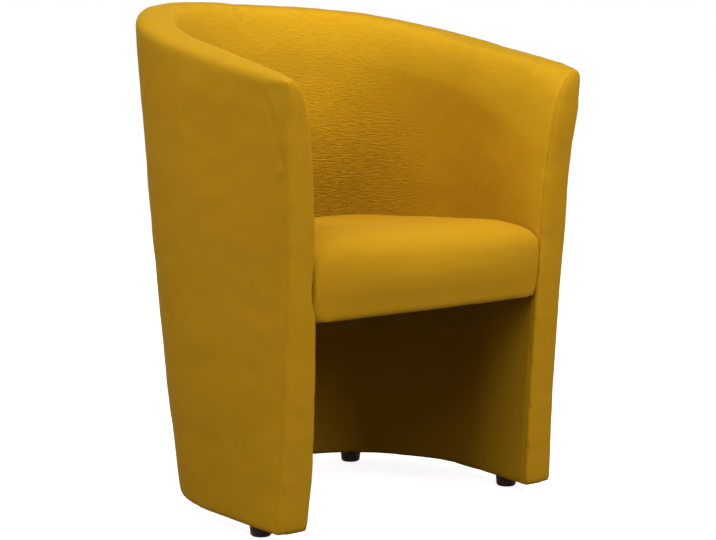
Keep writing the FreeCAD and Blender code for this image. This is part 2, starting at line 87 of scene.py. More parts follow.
def grained(name, dark, pale, roughness, stretch):
    """Wood or board: streaks that are longest where the stretch is smallest, and a fine relief."""
    material, tree, shader = new_material(name, roughness)
    place = node(tree, "ShaderNodeTexCoord")
    mapping = node(tree, "ShaderNodeMapping", Scale=stretch)
    streaks = node(tree, "ShaderNodeTexNoise", Scale=1.0, Detail=6.0, Distortion=0.6)
    tree.links.new(place.outputs["Object"], mapping.inputs["Vector"])
    tree.links.new(mapping.outputs["Vector"], streaks.inputs["Vector"])
    colour = ramp(tree, streaks.outputs["Fac"], dark, pale, start=0.3, end=0.7)
    tree.links.new(colour, shader.inputs["Base Color"])
    raised(tree, shader, streaks.outputs["Fac"], depth=0.0006)
    return material


def dress(names, material):
    """Gives CAD nodes a material."""
    for name in names:
        cad[name].data.materials.clear()
        cad[name].data.materials.append(material)


post_names = [
    level + "_post_" + place + "_" + side
    for level in ("lower", "upper") for place in ("front", "side", "back") for side in ("left", "right")
]
rail_names = ["seat_front_rail", "seat_rear_rail", "seat_side_rail_left", "seat_side_rail_right"]
sawn_wood = grained("sawn_wood", (0.36, 0.22, 0.10), (0.60, 0.42, 0.23), roughness=0.75, stretch=(90, 90, 9))
dress(post_names + rail_names + ["seat_corner_blocks"], sawn_wood)
plywood = grained("plywood", (0.40, 0.26, 0.13), (0.66, 0.49, 0.30), roughness=0.7, stretch=(12, 70, 420))
dress(["base_former", "seat_former", "top_former"], plywood)


# Hardboard bent round the frame, inside and out, to carry the padding.
# Smooth brown fibre board, stapled to the boards and posts.
hardboard = grained(
    "hardboard", (0.16, 0.085, 0.04), (0.24, 0.14, 0.07), roughness=0.6, stretch=(160, 160, 160))
lower_boards = ["lower_board_left", "lower_board_back", "lower_board_right"]
dress(["outer_board", "inner_board"] + lower_boards, hardboard)


# Steel: zigzag springs with their clips, and the screws of the frame, the seat and the feet.
# Bright drawn wire and zinc-plated screws.
def spotted(name, roughness, dark, pale, fineness, detail, start, end, depth):
    """A material in two close shades, in small soft spots with a slight relief; gives it and its shader."""
    material, tree, shader = new_material(name, roughness)
    place = node(tree, "ShaderNodeTexCoord")
    spots = node(tree, "ShaderNodeTexNoise", Scale=fineness, Detail=detail)
    tree.links.new(place.outputs["Object"], spots.inputs["Vector"])
    colour = ramp(tree, spots.outputs["Fac"], dark, pale, start, end)
    tree.links.new(colour, shader.inputs["Base Color"])
    raised(tree, shader, spots.outputs["Fac"], depth)
    return material, shader


steel, steel_shader = spotted(
    "plated_steel", roughness=0.35, dark=(0.42, 0.42, 0.43), pale=(0.62, 0.62, 0.64),
    fineness=220.0, detail=3.0, start=0.35, end=0.65, depth=0.0001)
steel_shader.inputs["Metallic"].default_value = 1.0
dress(["zigzag_springs", "spring_clips", "frame_screws", "seat_screws", "foot_screws"], steel)


# Upholstered wall: foam and wadding over the boards, covered in fabric that is pulled tight round the rim
# and the arm fronts. It is worked as one soft body, so that its edges are as round as padded fabric's, and
# is then parted at its seams into the outer cover, the inner cover, the arm fronts and the lining.
WELD = 1e-5
BACK_CENTRE = -0.05
wall_names = [
    "outer_cover", "outer_wadding_left", "outer_wadding_back", "outer_wadding_right", "outer_board",
    "inner_cover", "arm_foam_left", "back_foam", "arm_foam_right", "inner_board",
    "top_former", "seat_former", "base_former", "arm_facing_left", "arm_facing_right",
    "lower_lining", "lower_board_left", "lower_board_back", "lower_board_right", "base_cloth",
]


def finished(piece):
    """The piece with its modifiers made part of its mesh."""
    shown = piece.evaluated_get(bpy.context.evaluated_depsgraph_get())
    mesh = bpy.data.meshes.new_from_object(shown)
    piece.modifiers.clear()
    piece.data = mesh
    return piece


def new_piece(name, body):
    """A piece from a bmesh, which is used up."""
    mesh = bpy.data.meshes.new(name)
    body.to_mesh(mesh)
    body.free()
    piece = bpy.data.objects.new(name, mesh)
    scene.collection.objects.link(piece)
    return piece


def outer_skin(piece):
    """Leaves only the outer skin of a body that is hollow inside: the largest of its shells."""
    body = bmesh.new()
    body.from_mesh(piece.data)
    body.verts.ensure_lookup_table()
    island = [-1] * len(body.verts)
    sizes = []
    for first in body.verts:
        if island[first.index] >= 0:
            continue
        mark = len(sizes)
        island[first.index] = mark
        queue = [first]
        for vert in queue:
            for edge in vert.link_edges:
                other = edge.other_vert(vert)
                if island[other.index] < 0:
                    island[other.index] = mark
                    queue.append(other)
        sizes.append(len(queue))
    skin = sizes.index(max(sizes))
    inner = [vert for vert in body.verts if island[vert.index] != skin]
    bmesh.ops.delete(body, geom=inner, context="VERTS")
    body.to_mesh(piece.data)
    body.free()
    piece.data.update()
    return piece


def soft_body(name, names, grain, rounds):
    """One closed body round copies of CAD nodes, with softened edges."""
    body = bmesh.new()
    for each in names:
        body.from_mesh(cad[each].data)
    bmesh.ops.remove_doubles(body, verts=body.verts, dist=WELD)
    piece = new_piece(name, body)
    remesh = piece.modifiers.new("remesh", "REMESH")
    remesh.mode = "VOXEL"
    remesh.voxel_size = grain
    smooth = piece.modifiers.new("smooth", "SMOOTH")
    smooth.factor = 0.5
    smooth.iterations = rounds
    finished(piece)
    return outer_skin(piece)


def places(piece):
    """The piece's points as an array."""
    flat = np.zeros(len(piece.data.vertices) * 3)
    piece.data.vertices.foreach_get("co", flat)
    return flat.reshape(-1, 3)


def put(piece, points):
    """Moves the piece's points to these places."""
    piece.data.vertices.foreach_set("co", points.ravel())
    piece.data.update()


def outward(piece):
    """The piece's outward directions at its points."""
    flat = np.zeros(len(piece.data.vertices) * 3, np.float32)
    piece.data.vertex_normals.foreach_get("vector", flat)
    return flat.reshape(-1, 3).astype(float)


def swell(piece, names, grain, held, pressure, frames, cap):
    """Swells the piece as stuffed fabric does: a coarser copy is blown up as cloth, held where held says,
    and the piece's points move as the nearest points of the copy do, by no more than the cap."""
    smoothing_rounds, neighbours, nearest_gap = 12, 4, 0.001
    stuffed = soft_body(piece.name + "_stuffed", names, grain, rounds=2)
    rest = places(stuffed)
    pins = stuffed.vertex_groups.new(name="held")
    for index, weight in enumerate(held(rest)):
        pins.add([index], float(weight), "REPLACE")
    cloth = stuffed.modifiers.new("cloth", "CLOTH")
    cloth.settings.vertex_group_mass = "held"
    cloth.settings.use_pressure = True
    cloth.settings.uniform_pressure_force = pressure
    cloth.settings.effector_weights.gravity = 0.0
    cloth.settings.quality = 4
    cloth.collision_settings.use_collision = False
    cloth.point_cache.frame_end = frames
    for step in range(1, frames + 1):
        scene.frame_set(step)
    finished(stuffed)
    scene.frame_set(1)
    move = places(stuffed) - rest
    length = np.linalg.norm(move, axis=1)
    move *= (np.minimum(length, cap) / np.maximum(length, 1e-9))[:, None]
    ends = np.array([edge.vertices[:] for edge in stuffed.data.edges])
    for _ in range(smoothing_rounds):
        total, count = move.copy(), np.ones(len(move))
        for first, last in ((0, 1), (1, 0)):
            np.add.at(total, ends[:, first], move[ends[:, last]])
            np.add.at(count, ends[:, first], 1)
        move = total / count[:, None]
    tree = KDTree(len(rest))
    for index, point in enumerate(rest):
        tree.insert(point, index)
    tree.balance()
    points = places(piece)
    for index, point in enumerate(points):
        near = tree.find_n(point, neighbours)
        weights = np.array([1.0 / (found[2] + nearest_gap) for found in near])
        moves = move[[found[1] for found in near]]
        points[index] = point + (moves * weights[:, None]).sum(0) / weights.sum()
    put(piece, points)
    bpy.data.objects.remove(stuffed)


def rising(value, start, width):
    """Goes straight from 0 at start to 1 at a width beyond it."""
    return np.clip((value - start) / width, 0, 1)


def behind_centre(y):
    """How far a place is behind the middle of the round of the back, or 0 in front of it."""
    return np.maximum(y - BACK_CENTRE, 0.0)


def held_wall(points):
    """The outside and the lining are stapled to the boards; the rim and the inside are free."""
    x, y, z = points.T
    across = np.hypot(x, behind_centre(y))
    leaning_out = 0.262 + 0.028 * z
    front = rising(-y, 0.235, 0.03)
    free = rising(z, 0.42, 0.05) * (1 - front)
    outside = rising(across, leaning_out, 0.012) * rising(-z, -0.62, 0.05)
    return np.clip(1.0 - free + outside, 0, 1)


wall = soft_body("wall", wall_names, grain=0.0045, rounds=5)
swell(wall, wall_names, grain=0.011, held=held_wall, pressure=3.0, frames=10, cap=0.004)


def eased(value, start, end):
    """Goes smoothly from 0 at start to 1 at end."""
    share = np.clip((value - start) / (end - start), 0, 1)
    return share * share * (3 - 2 * share)


def soft_band(gap, width):
    """1 on a line and nearly 0 at two widths from it."""
    return np.exp(-(gap / width) ** 2)


def near_path(points, path):
    """Each point's distance from a line through the places in path, and how far along it the point lies."""
    best = np.full(len(points), 1e9)
    along = np.zeros(len(points))
    path = np.array(path)
    for number, (first, last) in enumerate(zip(path[:-1], path[1:])):
        step = last - first
        share = np.clip((points - first) @ step / (step @ step), 0, 1)
        gap = np.linalg.norm(points - first - share[:, None] * step, axis=1)
        closer = gap < best
        best[closer] = gap[closer]
        along[closer] = (number + share[closer]) / (len(path) - 1)
    return best, along


def uneven(points, size, seed):
    """Slow ups and downs over the points, about 1 high, as wide as size."""
    return np.array([noise.noise(Vector(point) / size + Vector((seed, 0, 0))) for point in points])


def away_from_centre(points):
    """The level direction from the chair's middle out to each point."""
    x, y, z = points.T
    aside = np.stack([x, behind_centre(y), 0 * x], axis=1)
    return aside / np.maximum(np.linalg.norm(aside, axis=1), 1e-6)[:, None]


# The wall's covers and the CAD nodes that they follow.
# How near each point is to them tells where the seams are.
cover_nodes = {
    "outer_cover_fabric": "outer_cover",
    "inner_cover_fabric": "inner_cover",
    "lining_fabric": "lower_lining",
    "arm_front_left": "arm_facing_left",
    "arm_front_right": "arm_facing_right",
}
cover_names = list(cover_nodes)
OUTER, INNER, LINING, FRONT_LEFT, FRONT_RIGHT = range(5)
TIPS = [(-0.276, -0.272, 0.655), (0.276, -0.272, 0.655)]
surfaces = []
for cad_name in cover_nodes.values():
    skin = bmesh.new()
    skin.from_mesh(cad[cad_name].data)
    surfaces.append(BVHTree.FromBMesh(skin))
    skin.free()


def cover_distances(points):
    """How far each point is from each CAD cover."""
    return np.array([[tree.find_nearest(Vector(point))[3] for tree in surfaces] for point in points])


def inside_distance(reach):
    """How far each point is from the inner cover or the lining, whichever is nearer."""
    return np.minimum(reach[:, INNER], reach[:, LINING])


def front_distance(reach):
    """How far each point is from the nearer arm front."""
    return np.minimum(reach[:, FRONT_LEFT], reach[:, FRONT_RIGHT])


def tip_distance(points):
    """How far each point is from the nearer arm tip."""
    return np.min([np.linalg.norm(points - np.array(tip), axis=1) for tip in TIPS], axis=0)


# The arm fronts turn into the inside in a wide soft round, wider on the right arm. Near the rim the left
# arm's outer corner is round, and so are both arm tips.
ROUND_INSIDE, ROUND_CORNER, ROUND_TIP = (0.016, 0.040), (0.014, 0.034), (0.012, 0.034)
LEFT_SHARE = 0.25
home = places(wall)
reach = cover_distances(home)
x, y, z = home.T
upper = eased(z, 0.34, 0.46)
turning = 1 - eased(np.maximum(inside_distance(reach), front_distance(reach)), *ROUND_INSIDE)
turning = turning * np.where(x > 0, upper, LEFT_SHARE * upper)
corner = 1 - eased(np.maximum(reach[:, OUTER], reach[:, FRONT_LEFT]), *ROUND_CORNER)
turning = np.maximum(turning, corner * eased(z, 0.50, 0.60))
turning = np.maximum(turning, 1 - eased(tip_distance(home), *ROUND_TIP))
round_group = wall.vertex_groups.new(name="round")
for index in np.nonzero(turning > 0.01)[0]:
    round_group.add([int(index)], float(turning[index]), "REPLACE")
soften = wall.modifiers.new("soften", "SMOOTH")
soften.vertex_group = "round"
soften.factor = 0.5
soften.iterations = 40
finished(wall)

# Where the fabric is sewn or gathered, the body gets a finer grain.
seam = np.sort(reach, axis=1)
seam = seam[:, 1] - seam[:, 0]
at_front_seam = (seam < 0.010) & (front_distance(reach) < 0.012)
fine = at_front_seam | (tip_distance(places(wall)) < 0.05)
whole = bmesh.new()
whole.from_mesh(wall.data)
whole.verts.ensure_lookup_table()
edges = [edge for edge in whole.edges if fine[edge.verts[0].index] and fine[edge.verts[1].index]]
bmesh.ops.subdivide_edges(whole, edges=edges, cuts=1, use_grid_fill=True, smooth=0.3)
whole.to_mesh(wall.data)
whole.free()
wall.data.update()

# The padding gives the wall its uneven outline: the rim stands higher round the left of the back, the foot
# of the wall stands out, and its lower edge is a soft roll. Degrees count from the back's middle to the right.
RIM_DEGREES = [-180, -132, -118, -100, -80, -60, -40, -20, 0, 20, 45, 130, 180]
RIM_RISE = [0, 0.001, 0.005, 0.008, 0.010, 0.013, 0.015, 0.009, 0.0015, 0.0005, 0.006, 0.004, 0.004]
LEFT_HEIGHTS = [0, 0.2, 0.3, 0.4, 0.5, 0.6, 0.7]
LEFT_PUSH = [0.0045, 0.004, 0.0025, 0.0005, 0, -0.0015, -0.001]
RIGHT_HEIGHTS = [0, 0.1, 0.2, 0.41, 0.46, 0.51, 0.56, 0.61, 0.66]
RIGHT_PUSH = [0.005, 0.006, 0.0065, 0.006, 0.0035, 0.0015, 0.002, 0.005, 0.006]
EDGE_DROP = 0.003
LINING_FULLNESS = 0.0012
home = places(wall)
reach = cover_distances(home)
points = home.copy()
normals = outward(wall)
x, y, z = home.T
turn = np.degrees(np.arctan2(x, y - BACK_CENTRE))
points[:, 2] += np.interp(turn, RIM_DEGREES, RIM_RISE) * eased(z, 0.50, 0.68)
aside = away_from_centre(home)
outer = eased((normals * aside).sum(1), 0.0, 0.5)
outer = np.maximum(outer, eased(np.abs(x), 0.236, 0.258) * (y < -0.215))
push_left = np.interp(z, LEFT_HEIGHTS, LEFT_PUSH)
push_right = np.interp(z, RIGHT_HEIGHTS, RIGHT_PUSH)
right = eased(turn, 0, 90)
points += aside * (outer * (push_left * (1 - right) + push_right * right))[:, None]
points[:, 2] -= EDGE_DROP * (1 - eased(z, 0.026, 0.07))
points += normals * (LINING_FULLNESS * (1 - eased(z, 0.34, 0.44)) * (outer < 0.5))[:, None]
points += normals * (0.0011 * uneven(home, 0.075, 3.0) + 0.0006 * uneven(home, 0.03, 8.0))[:, None]

# Seams: the arm fronts are sewn to the inside with a seam that draws the fabric in, and a soft crease runs
# down the left side from the rim, where the fabric of the arm's front is pulled round.
SEAM_DEPTH, SEAM_WIDTH = 0.0011, 0.0022
inside_gap, front_gap = inside_distance(reach), front_distance(reach)
sewn = soft_band(np.abs(inside_gap - front_gap), SEAM_WIDTH) * (np.maximum(inside_gap, front_gap) < 0.016)
left_seam = eased(z, 0.44, 0.52) * (1 - eased(z, 0.60, 0.64))
sewn *= np.where(x > 0, 1 - eased(z, 0.30, 0.36), left_seam)
points -= normals * (SEAM_DEPTH * sewn)[:, None]
CREASE = [
    (-0.2894, -0.2419, 0.6525), (-0.2868, -0.2474, 0.632), (-0.2827, -0.2555, 0.605),
    (-0.2784, -0.2609, 0.571), (-0.2739, -0.2680, 0.545), (-0.2709, -0.2663, 0.502),
    (-0.2668, -0.2526, 0.388), (-0.2646, -0.2390, 0.273), (-0.2628, -0.2306, 0.156),
    (-0.2627, -0.2268, 0.039),
]
CREASE_ALONG, CREASE_DEPTH = [0, 0.1, 0.4, 0.6, 1], [0.0, 0.0009, 0.0016, 0.0009, 0.0005]
CREASE_WIDTH = 0.0055
gap, along = near_path(home, CREASE)
points -= normals * (np.interp(along, CREASE_ALONG, CREASE_DEPTH) * soft_band(gap, CREASE_WIDTH))[:, None]
RIDGE = [(side[0] + 0.006, side[1], side[2] - 0.03) for side in CREASE[:4]]
RIDGE_HEIGHT, RIDGE_WIDTH = 0.0009, 0.009
gap, along = near_path(home, RIDGE)
points += normals * (RIDGE_HEIGHT * soft_band(gap, RIDGE_WIDTH))[:, None]

# Near the rim the left arm's front corner is drawn round much wider, from the crease to the front's middle.
FRONT_FOOT, FRONT_LEAN = -0.2422, 0.0665
SIDE_HEIGHTS = [0.50, 0.55, 0.57, 0.605, 0.632, 0.66]
SIDE_LINE = [-0.272, -0.2765, -0.2798, -0.2845, -0.289, -0.292]
DRAWN_IN = 0.55
behind = y - FRONT_FOOT + FRONT_LEAN * z
inward = x - np.interp(z, SIDE_HEIGHTS, SIDE_LINE)
inward -= 0.2 * np.clip(behind, -0.01, 0.06) - 0.008
deep = np.interp(z, [0.53, 0.55, 0.571, 0.605, 0.6525], [0.002, 0.012, 0.021, 0.028, 0.044])
wide = np.interp(z, [0.53, 0.55, 0.6525], [0.002, 0.010, 0.028])
excess = np.clip(1 - np.maximum(behind, 0) / deep - np.maximum(inward, 0) / wide, 0, 1)
excess = excess * (x < -0.2) * eased(z, 0.53, 0.57)
excess *= DRAWN_IN * (behind < 0.06) / np.sqrt(1 / deep ** 2 + 1 / wide ** 2)
facet = np.stack([1 / wide, 1 / deep, 0 * z], axis=1)
facet /= np.linalg.norm(facet, axis=1)[:, None]
points += facet * excess[:, None]

# Gathers at the top of the arm fronts, where the fabric turns the corner in small folds.
FOLD_HEIGHT, FOLD_WIDTH, FOLDED_ROUND = 0.00035, 0.014, 0.024
for side, tip, share in zip((-1, 1), TIPS, (1.0, 0.6)):
    offset = home - np.array(tip)
    close = soft_band(np.linalg.norm(offset, axis=1), FOLDED_ROUND)
    across = offset[:, 0] * side * 0.8 - offset[:, 1] * 0.5 + 0.2 * offset[:, 2]
    fold = np.sin(across * 2 * math.pi / FOLD_WIDTH)
    points += normals * (FOLD_HEIGHT * close * fold * share)[:, None]

# Beside the seat the left arm's inner edge is pressed in, and a dark slit shows between them.
SLIT_LEVEL, SLIT_HEIGHT, SLIT_DEPTH = 0.366, 0.026, 0.0065
dent = soft_band(z - SLIT_LEVEL, SLIT_HEIGHT) * (x < 0) * (y < -0.235) * eased(-x, 0.252, 0.226)
points[:, 0] -= SLIT_DEPTH * dent

# Below the seat the left arm's inner edge is fuller.
LOWER_HEIGHTS, LOWER_SHARES = [0.03, 0.09, 0.16, 0.26, 0.34], [0.0, 0.8, 1.0, 0.6, 0.0]
LOWER_FULLNESS = 0.005
full = np.interp(z, LOWER_HEIGHTS, LOWER_SHARES) * eased(x, -0.272, -0.215) * (x < 0)
points[:, 0] += LOWER_FULLNESS * full * eased(-y, 0.10, 0.22)
put(wall, points)


# Fabric: a mustard-yellow woven upholstery cloth with slightly uneven threads.
# It is sewn from several pieces, and the inside shows its coarse threads most.
MUSTARD = (0.42, 0.212, 0.0055)
# The inside's dye is a painted tint: greener than the mustard, to offset the redder light bounced round inside
# the chair.
MUSTARD_INSIDE_PAINTED = (0.404, 0.217, 0.0060)


def weave_group():
    """Threads of a woven cloth, from its own two directions: a height, and a shade that is 1 on average before
    painted shade low behind the seat and painted light on the inside.
    """
    slub_fineness, grain_fineness, cloud_fineness = (66, 400, 400), (620, 620, 620), (9, 9, 9)
    cloud_share, painted_light_share = 0.10, 0.25
    group = bpy.data.node_groups.new("weave", "ShaderNodeTree")
    group.interface.new_socket("Cloth", in_out="INPUT", socket_type="NodeSocketVector")
    for name in ("Slub", "Grain", "Painted_Shade", "Painted_Light"):
        group.interface.new_socket(name, in_out="INPUT", socket_type="NodeSocketFloat")
    for name in ("Shade", "Height"):
        group.interface.new_socket(name, in_out="OUTPUT", socket_type="NodeSocketFloat")
    start = node(group, "NodeGroupInput")
    end = node(group, "NodeGroupOutput")

    def math_node(operation, first, second):
        made = node(group, "ShaderNodeMath", operation=operation)
        for socket, value in zip(made.inputs, (first, second)):
            if isinstance(value, float):
                socket.default_value = value
            else:
                group.links.new(value, socket)
        return made.outputs[0]

    def cloth_noise(scale, detail):
        mapping = node(group, "ShaderNodeMapping", Scale=scale)
        cloud = node(group, "ShaderNodeTexNoise", Scale=1.0, Detail=detail, Roughness=0.6)
        group.links.new(start.outputs["Cloth"], mapping.inputs["Vector"])
        group.links.new(mapping.outputs["Vector"], cloud.inputs["Vector"])
        return math_node("SUBTRACT", cloud.outputs["Fac"], 0.5)

    def eased_node(value, first, last, low, high):
        made = node(group, "ShaderNodeMapRange", interpolation_type="SMOOTHSTEP")
        for socket, number in (("From Min", first), ("From Max", last), ("To Min", low), ("To Max", high)):
            made.inputs[socket].default_value = number
        group.links.new(value, made.inputs["Value"])
        return made.outputs["Result"]

    place = node(group, "ShaderNodeSeparateXYZ")
    group.links.new(start.outputs["Cloth"], place.inputs[0])
    round_back = math_node("ABSOLUTE", place.outputs["X"], 0.0)
    loose = eased_node(round_back, 0.18, 0.42, 1.0, 0.15)
    low = eased_node(place.outputs["Y"], 0.22, 0.46, 1.2, 0.30)
    # Painted shade: the inside is darkened low down behind the seat, most in the middle of the back.
    painted_shade_band = eased_node(place.outputs["Y"], 0.22, 0.40, 1.0, 0.0)
    slub = math_node("MULTIPLY", cloth_noise(slub_fineness, 3.0), start.outputs["Slub"])
    slub = math_node("MULTIPLY", math_node("MULTIPLY", slub, loose), low)
    grain = math_node("MULTIPLY", cloth_noise(grain_fineness, 2.0), start.outputs["Grain"])
    cloud = math_node("MULTIPLY", cloth_noise(cloud_fineness, 2.0), cloud_share)
    threads = math_node("ADD", slub, grain)
    painted_shade_depth = math_node("MULTIPLY", painted_shade_band, start.outputs["Painted_Shade"])
    unshaded_share = math_node("SUBTRACT", 1.0, math_node("MULTIPLY", painted_shade_depth, loose))
    # Painted light: the inside is made lighter where it faces the sitter.
    painted_lighter = math_node("ADD", math_node("MULTIPLY", start.outputs["Painted_Light"], painted_light_share), 1.0)
    shade = math_node("MULTIPLY", math_node("ADD", math_node("ADD", threads, cloud), 1.0), unshaded_share)
    shade = math_node("MULTIPLY", shade, painted_lighter)
    group.links.new(shade, end.inputs["Shade"])
    group.links.new(threads, end.inputs["Height"])
    return group


weave = weave_group()


def upholstery(name, slub, grain, relief, dye=MUSTARD, painted_shade=0.0):
    """The mustard fabric with its own slub, grain and relief, and with painted shade low down behind the seat.
    """
    material, tree, shader = new_material(name, roughness=0.92)
    shader.inputs["Specular IOR Level"].default_value = 0.08
    shader.inputs["Sheen Weight"].default_value = 0.03
    shader.inputs["Sheen Roughness"].default_value = 0.5
    shader.inputs["Sheen Tint"].default_value = (1.0, 0.65, 0.12, 1)
    cloth = node(tree, "ShaderNodeAttribute", attribute_name="cloth")
    inner = node(tree, "ShaderNodeAttribute", attribute_name="inner")
    threads = node(tree, "ShaderNodeGroup", node_tree=weave)
    threads.inputs["Slub"].default_value = slub
    threads.inputs["Grain"].default_value = grain
    threads.inputs["Painted_Shade"].default_value = painted_shade
    tree.links.new(cloth.outputs["Vector"], threads.inputs["Cloth"])
    tree.links.new(inner.outputs["Fac"], threads.inputs["Painted_Light"])
    colour = node(tree, "ShaderNodeVectorMath", operation="MULTIPLY")
    colour.inputs[0].default_value = dye
    tree.links.new(threads.outputs["Shade"], colour.inputs[1])
    tree.links.new(colour.outputs["Vector"], shader.inputs["Base Color"])
    raised(tree, shader, threads.outputs["Height"], relief)
    return material


outside_fabric = upholstery("fabric_outside", slub=0.05, grain=0.10, relief=0.0008)
# The inside fabric carries painted shade low down behind the seat.
inside_fabric = upholstery(
    "fabric_inside", slub=1.05, grain=0.34, relief=0.0034, dye=MUSTARD_INSIDE_PAINTED, painted_shade=0.26)
front_fabric = upholstery("fabric_fronts", slub=0.10, grain=0.34, relief=0.0022)
seat_fabric = upholstery("fabric_seat", slub=0.06, grain=0.08, relief=0.0008)


def lay_cloth(piece, directions):
    """Stores the cloth's own directions on the piece: across and along the threads, in metres."""
    cloth = piece.data.attributes.new("cloth", "FLOAT_VECTOR", "POINT")
    cloth.data.foreach_set("vector", directions(places(piece)).astype(np.float32).ravel())


def round_wall(points):
    """Cloth directions on the wall: round the chair, and up the outside, over the rim and down the inside."""
    wall_radius, quarter_round = 0.28, 0.44
    x, y, z = points.T
    behind = behind_centre(y)
    across = np.hypot(x, behind)
    along_arm = np.sign(x) * (quarter_round + BACK_CENTRE - y)
    turn = np.where(y > BACK_CENTRE, wall_radius * np.arctan2(x, behind), along_arm)
    return np.stack([turn, z - across, 0 * z], axis=1)


def lay_painted_light(piece):
    """Stores how far the cover faces the sitter, where painted light makes it lighter: 0 on the rim, 1 down
    the inside.
    """
    towards_sitter = -(outward(piece) * away_from_centre(places(piece))).sum(1)
    facing = eased(towards_sitter, 0.35, 0.85)
    inner = piece.data.attributes.new("inner", "FLOAT", "POINT")
    inner.data.foreach_set("value", facing.astype(np.float32))


def along_front(points):
    """Cloth directions on an arm front: across it and up it."""
    return points[:, [0, 2, 1]]


# The wall is parted at its seams: each bit of it goes with the CAD cover that it lies nearest to.
# Bits of its underside that lie far from every cover are left out.
FABRIC_THICK = 0.0015
FAR = 0.009
FACING_DOWN = -0.6
UNDERSIDE = 0.04
wall_normals = outward(wall)
whole = bmesh.new()
whole.from_mesh(wall.data)
belongs = []
for face in whole.faces:
    distances = reach[[vert.index for vert in face.verts]].mean(0)
    nearest = int(distances.argmin())
    under = face.normal.z < FACING_DOWN and face.calc_center_median().z < UNDERSIDE
    belongs.append(None if under and distances[nearest] > FAR else cover_names[nearest])


def parted(name):
    """The faces of the wall that belong to one cover, as thick as the fabric, with the wall's own shading."""
    part = whole.copy()
    part.faces.ensure_lookup_table()
    others = [face for face in part.faces if belongs[face.index] != name]
    marks = part.verts.layers.int.new("wall_point")
    for vert in part.verts:
        vert[marks] = vert.index
    bmesh.ops.delete(part, geom=others, context="FACES")
    piece = new_piece(name, part)
    keep = np.zeros(len(piece.data.vertices), np.int32)
    piece.data.attributes["wall_point"].data.foreach_get("value", keep)
    thick = piece.modifiers.new("thick", "SOLIDIFY")
    thick.thickness = FABRIC_THICK
    thick.offset = -1.0
    finished(piece)
    piece.data.attributes.remove(piece.data.attributes["wall_point"])
    for face in piece.data.polygons:
        face.use_smooth = True
    normals = np.concatenate([wall_normals[keep], -wall_normals[keep]])
    piece.data.normals_split_custom_set_from_vertices(normals[:len(piece.data.vertices)])
    return piece


outer_cover = parted("outer_cover_fabric")
inner_cover = parted("inner_cover_fabric")
lining = parted("lining_fabric")
arm_front_left = parted("arm_front_left")
arm_front_right = parted("arm_front_right")
whole.free()
bpy.data.objects.remove(wall)

for piece, directions, fabric in (
    (outer_cover, round_wall, outside_fabric),
    (inner_cover, round_wall, inside_fabric),
    (lining, round_wall, outside_fabric),
    (arm_front_left, along_front, front_fabric),
    (arm_front_right, along_front, front_fabric),
):
    lay_cloth(piece, directions)
    piece.data.materials.append(fabric)
# Painted light on the inner cover: lighter where it faces the sitter.
lay_painted_light(inner_cover)
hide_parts("outer_cover", "outer_wadding_left", "outer_wadding_back", "outer_wadding_right")
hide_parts("inner_cover", "arm_foam_left", "back_foam", "arm_foam_right")
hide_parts("lower_lining")
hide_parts("arm_facing_left")
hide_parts("arm_facing_right")
for piece in (outer_cover, inner_cover, lining, arm_front_left, arm_front_right):
    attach(piece, "root")


# Seat: a foam pad on felt and springs, with the fabric drawn down over it and stapled under the rails.
# It is crowned, fuller at the front and at the left, and hides its rails.
seat_names = ["seat_cover", "seat_foam", "spring_felt", "seat_bottom_cloth"] + rail_names


def held_seat(points):
    """The cover is held under the rails and between the arms; its top and its front are free."""
    x, y, z = points.T
    top = rising(z, 0.375, 0.03)
    side = rising(np.abs(x), 0.195, 0.02) * rising(-z, -0.43, 0.02)
    front = rising(-y, 0.245, 0.01) * rising(z, 0.328, 0.02)
    return np.clip(1.0 - np.maximum(top * (1 - side), front), 0, 1)


seat = soft_body("seat_pad", seat_names, grain=0.0045, rounds=4)
swell(seat, seat_names, grain=0.008, held=held_seat, pressure=4.0, frames=12, cap=0.003)
ACROSS_SEAT = [-0.23, -0.17, -0.08, 0, 0.08, 0.17, 0.20, 0.23]
ACROSS_RISE = [0.006, 0.007, -0.001, -0.006, -0.006, -0.001, -0.003, -0.006]
ALONG_SEAT = [-0.28, -0.21, -0.12, 0.0, 0.14]
ALONG_RISE = [0.006, 0.011, 0.003, -0.006, -0.010]
SIDE_SPREAD = 0.005
SEAT_UNEVEN = 0.0008
UNDER_RAIL = np.array([0.0, 0.0010, 0.0022])
points = places(seat)
x, y, z = points.T
shoulder = np.interp(x, ACROSS_SEAT, ACROSS_RISE)
shoulder += np.interp(y, ALONG_SEAT, ALONG_RISE)
spread = SIDE_SPREAD * np.sign(x) * eased(np.abs(x), 0.15, 0.21) * (1 - eased(y, -0.16, -0.08))
points[:, 2] += shoulder * eased(z, 0.37, 0.42)
points[:, 0] += spread * eased(z, 0.32, 0.34)
points += outward(seat) * (SEAT_UNEVEN * uneven(points, 0.06, 5.0))[:, None]
under_rail = (1 - eased(z, 0.327, 0.350)) * eased(-y, 0.242, 0.255)
points -= UNDER_RAIL * under_rail[:, None]
put(seat, points)
for face in seat.data.polygons:
    face.use_smooth = True
lay_cloth(seat, lambda points: points)
seat.data.materials.append(seat_fabric)
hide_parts("seat_cover", "seat_foam", "spring_felt")
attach(seat, "root")


# Cloths under the wall and under the seat: thin dark lining cloth that closes the undersides.
# Each is stapled round its edge, which is turned in a little.
lining_cloth, _ = spotted(
    "lining_cloth", roughness=0.95, dark=(0.006, 0.006, 0.006), pale=(0.03, 0.028, 0.026),
    fineness=700.0, detail=4.0, start=0.3, end=0.7, depth=0.0003)


